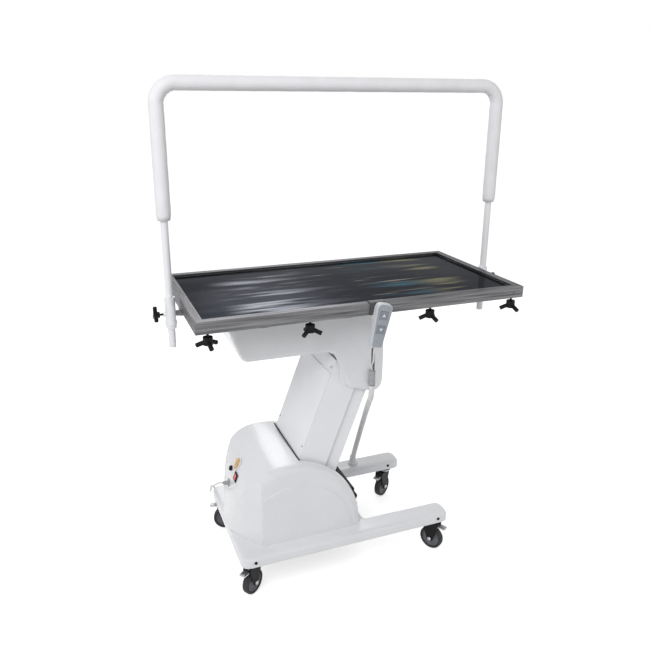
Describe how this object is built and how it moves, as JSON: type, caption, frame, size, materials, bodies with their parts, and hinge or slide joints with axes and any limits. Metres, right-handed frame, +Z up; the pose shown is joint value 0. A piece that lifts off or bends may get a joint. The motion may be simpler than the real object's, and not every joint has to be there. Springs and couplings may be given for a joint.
{
  "type": "veterinary exam table",
  "caption": "Electric exam and grooming table: stainless tray on a parallelogram lift arm, U-shaped base on braked casters, removable padded gantry, wired handset.",
  "frame": {"origin": "on the floor, under the middle of the object's box without its mains lead", "axes": "+X along the tray away from the dome's nose, +Y away from the handset side, +Z up"},
  "size_m": [1.372, 0.6688, 1.829],
  "materials": {
    "stainless": "bright brushed stainless sheet",
    "frame_steel": "dark grey painted steel",
    "white_paint": "white powder coat",
    "white_shell": "white moulded shell, satin",
    "zinc": "zinc plated steel",
    "black_plastic": "black moulded plastic",
    "black_rubber": "black rubber",
    "foam": "white foam sleeve",
    "grey_plastic": "grey plastic",
    "dark_plastic": "dark grey plastic",
    "amber_lens": "amber lens",
    "red_plastic": "red rocker",
    "handset_shell": "light grey shell",
    "handset_panel": "blue-grey panel",
    "button_grey": "blue-grey keys",
    "cord_white": "white cord"
  },
  "bodies": {
    "base": {"base_shell": "white_shell", "base_frame": "frame_steel", "pivot_bracket": "frame_steel", "lower_arm_pin": "zinc", "lower_link_pin": "zinc", "motor_cover": "white_shell", "pilot_lamp": "amber_lens", "fuse_holder": "black_plastic", "rocker_bezel": "black_plastic", "cord_gland": "grey_plastic", "mains_cord": "cord_white", "mains_cord_coil": "cord_white", "mains_plug": "cord_white", "actuator_body": "frame_steel", "control_box": "grey_plastic", "slot_bellows": "black_rubber", "conduit": "cord_white"},
    "rocker": {"rocker": "red_plastic"},
    "lift_arm": {"lift_arm": "white_paint", "arm_cover": "white_paint"},
    "parallel_link": {"parallel_link": "white_paint"},
    "actuator_rod": {"actuator_rod": "zinc"},
    "carriage": {"carriage_bracket": "white_paint", "upper_arm_pin": "zinc", "upper_link_pin": "zinc", "top_frame": "frame_steel", "under_housing": "white_shell", "tray": "stainless", "socket_left": "white_paint", "socket_right": "white_paint", "handset_hanger": "dark_plastic", "handset_cord": "grey_plastic"},
    "gantry": {"gantry_tube": "white_paint", "gantry_foam": "foam"},
    "handset": {"handset_back": "handset_shell", "handset_face": "handset_panel"},
    "button_up": {"button_up": "button_grey"},
    "button_down": {"button_down": "button_grey"},
    "tie_knob_near_1": {"tie_knob_near_1": "black_plastic"},
    "tie_knob_near_2": {"tie_knob_near_2": "black_plastic"},
    "tie_knob_near_3": {"tie_knob_near_3": "black_plastic"},
    "tie_knob_near_4": {"tie_knob_near_4": "black_plastic"},
    "tie_knob_far_1": {"tie_knob_far_1": "black_plastic"},
    "tie_knob_far_2": {"tie_knob_far_2": "black_plastic"},
    "tie_knob_far_3": {"tie_knob_far_3": "black_plastic"},
    "tie_knob_far_4": {"tie_knob_far_4": "black_plastic"},
    "clamp_knob_left": {"clamp_knob_left": "black_plastic"},
    "clamp_knob_right": {"clamp_knob_right": "black_plastic"},
    "caster_near_left": {"caster_fork_near_left": "black_plastic"},
    "wheel_near_left": {"caster_wheel_near_left": "black_rubber"},
    "pedal_near_left": {"brake_pedal_near_left": "zinc"},
    "caster_near_right": {"caster_fork_near_right": "black_plastic"},
    "wheel_near_right": {"caster_wheel_near_right": "black_rubber"},
    "pedal_near_right": {"brake_pedal_near_right": "zinc"},
    "caster_far_right": {"caster_fork_far_right": "black_plastic"},
    "wheel_far_right": {"caster_wheel_far_right": "black_rubber"},
    "pedal_far_right": {"brake_pedal_far_right": "zinc"},
    "caster_far_left": {"caster_fork_far_left": "black_plastic"},
    "wheel_far_left": {"caster_wheel_far_left": "black_rubber"},
    "pedal_far_left": {"brake_pedal_far_left": "zinc"}
  },
  "joints": [
    {"name": "lift_swing", "type": "hinge", "parent": "base", "child": "lift_arm", "pos_m": [-0.245, 0.0032, 0.225], "axis": [0, 1, 0], "range_deg": [0, 55], "deforming": ["conduit", "slot_bellows"]},
    {"name": "carriage_level", "type": "hinge", "parent": "lift_arm", "child": "carriage", "pos_m": [-0.02997, 0.0032, 0.80012], "axis": [0, 1, 0], "range_deg": [-55, 0]},
    {"name": "link_swing", "type": "hinge", "parent": "base", "child": "parallel_link", "pos_m": [-0.18, 0.0032, 0.177], "axis": [0, 1, 0], "range_deg": [0, 55]},
    {"name": "actuator_extend", "type": "slide", "parent": "base", "child": "actuator_rod", "axis": [1, 0, 0], "range_m": [-0.0593, 0]},
    {"name": "gantry_lift", "type": "slide", "parent": "carriage", "child": "gantry", "axis": [0, 0, 1], "range_m": [0, 0.09]},
    {"name": "handset_lift", "type": "slide", "parent": "carriage", "child": "handset", "axis": [0.2079, 0, 0.9781], "range_m": [0, 0.03], "deforming": ["handset_cord"]},
    {"name": "button_up_press", "type": "slide", "parent": "handset", "child": "button_up", "axis": [0, 1, 0], "range_m": [0, 0.002], "stiffness_N_per_m": 800, "springref_m": -0.001},
    {"name": "button_down_press", "type": "slide", "parent": "handset", "child": "button_down", "axis": [0, 1, 0], "range_m": [0, 0.002], "stiffness_N_per_m": 800, "springref_m": -0.001},
    {"name": "rocker_tilt", "type": "hinge", "parent": "base", "child": "rocker", "pos_m": [-0.42843, -0.0228, 0.38054], "axis": [0.3658, 0, 0.9307], "range_deg": [-8, 8]},
    {"name": "tie_knob_near_1_turn", "type": "hinge", "parent": "carriage", "child": "tie_knob_near_1", "pos_m": [-0.56, -0.2875, 1.061], "axis": [0, 0, 1], "continuous": true},
    {"name": "tie_knob_near_2_turn", "type": "hinge", "parent": "carriage", "child": "tie_knob_near_2", "pos_m": [-0.223, -0.2875, 1.061], "axis": [0, 0, 1], "continuous": true},
    {"name": "tie_knob_near_3_turn", "type": "hinge", "parent": "carriage", "child": "tie_knob_near_3", "pos_m": [0.223, -0.2875, 1.061], "axis": [0, 0, 1], "continuous": true},
    {"name": "tie_knob_near_4_turn", "type": "hinge", "parent": "carriage", "child": "tie_knob_near_4", "pos_m": [0.56, -0.2875, 1.061], "axis": [0, 0, 1], "continuous": true},
    {"name": "tie_knob_far_1_turn", "type": "hinge", "parent": "carriage", "child": "tie_knob_far_1", "pos_m": [-0.56, 0.2939, 1.061], "axis": [0, 0, 1], "continuous": true},
    {"name": "tie_knob_far_2_turn", "type": "hinge", "parent": "carriage", "child": "tie_knob_far_2", "pos_m": [-0.223, 0.2939, 1.061], "axis": [0, 0, 1], "continuous": true},
    {"name": "tie_knob_far_3_turn", "type": "hinge", "parent": "carriage", "child": "tie_knob_far_3", "pos_m": [0.223, 0.2939, 1.061], "axis": [0, 0, 1], "continuous": true},
    {"name": "tie_knob_far_4_turn", "type": "hinge", "parent": "carriage", "child": "tie_knob_far_4", "pos_m": [0.56, 0.2939, 1.061], "axis": [0, 0, 1], "continuous": true},
    {"name": "clamp_knob_left_turn", "type": "hinge", "parent": "carriage", "child": "clamp_knob_left", "pos_m": [-0.665, 0.0032, 1.054], "axis": [-1, 0, 0], "continuous": true},
    {"name": "clamp_knob_right_turn", "type": "hinge", "parent": "carriage", "child": "clamp_knob_right", "pos_m": [0.665, 0.0032, 1.054], "axis": [1, 0, 0], "continuous": true},
    {"name": "swivel_near_left", "type": "hinge", "parent": "base", "child": "caster_near_left", "pos_m": [-0.411, -0.2028, 0.14], "axis": [0, 0, 1], "continuous": true},
    {"name": "roll_near_left", "type": "hinge", "parent": "caster_near_left", "child": "wheel_near_left", "pos_m": [-0.42676, -0.21511, 0.048], "axis": [0.6157, -0.788, 0], "continuous": true},
    {"name": "brake_near_left", "type": "hinge", "parent": "caster_near_left", "child": "pedal_near_left", "pos_m": [-0.4441, -0.22865, 0.108], "axis": [0.6157, -0.788, 0], "range_deg": [0, 14]},
    {"name": "swivel_near_right", "type": "hinge", "parent": "base", "child": "caster_near_right", "pos_m": [0.322, -0.2028, 0.14], "axis": [0, 0, 1], "continuous": true},
    {"name": "roll_near_right", "type": "hinge", "parent": "caster_near_right", "child": "wheel_near_right", "pos_m": [0.3323, -0.21994, 0.048], "axis": [0.8572, 0.515, 0], "continuous": true},
    {"name": "brake_near_right", "type": "hinge", "parent": "caster_near_right", "child": "pedal_near_right", "pos_m": [0.34363, -0.2388, 0.108], "axis": [0.8572, 0.515, 0], "range_deg": [0, 14]},
    {"name": "swivel_far_right", "type": "hinge", "parent": "base", "child": "caster_far_right", "pos_m": [0.322, 0.2092, 0.14], "axis": [0, 0, 1], "continuous": true},
    {"name": "roll_far_right", "type": "hinge", "parent": "caster_far_right", "child": "wheel_far_right", "pos_m": [0.30562, 0.19773, 0.048], "axis": [0.5736, -0.8192, 0], "continuous": true},
    {"name": "brake_far_right", "type": "hinge", "parent": "caster_far_right", "child": "pedal_far_right", "pos_m": [0.2876, 0.18511, 0.108], "axis": [0.5736, -0.8192, 0], "range_deg": [0, 14]},
    {"name": "swivel_far_left", "type": "hinge", "parent": "base", "child": "caster_far_left", "pos_m": [-0.411, 0.2092, 0.14], "axis": [0, 0, 1], "continuous": true},
    {"name": "roll_far_left", "type": "hinge", "parent": "caster_far_left", "child": "wheel_far_left", "pos_m": [-0.43032, 0.21438, 0.048], "axis": [-0.2588, -0.9659, 0], "continuous": true},
    {"name": "brake_far_left", "type": "hinge", "parent": "caster_far_left", "child": "pedal_far_left", "pos_m": [-0.45157, 0.22007, 0.108], "axis": [-0.2588, -0.9659, 0], "range_deg": [0, 14]}
  ],
  "couplings": [
    {"joint": "carriage_level", "follows": "lift_swing", "ratio": -1},
    {"joint": "link_swing", "follows": "lift_swing", "ratio": 1},
    {"joint": "actuator_extend", "follows": "lift_swing", "m_per_rad": -0.061567}
  ]
}
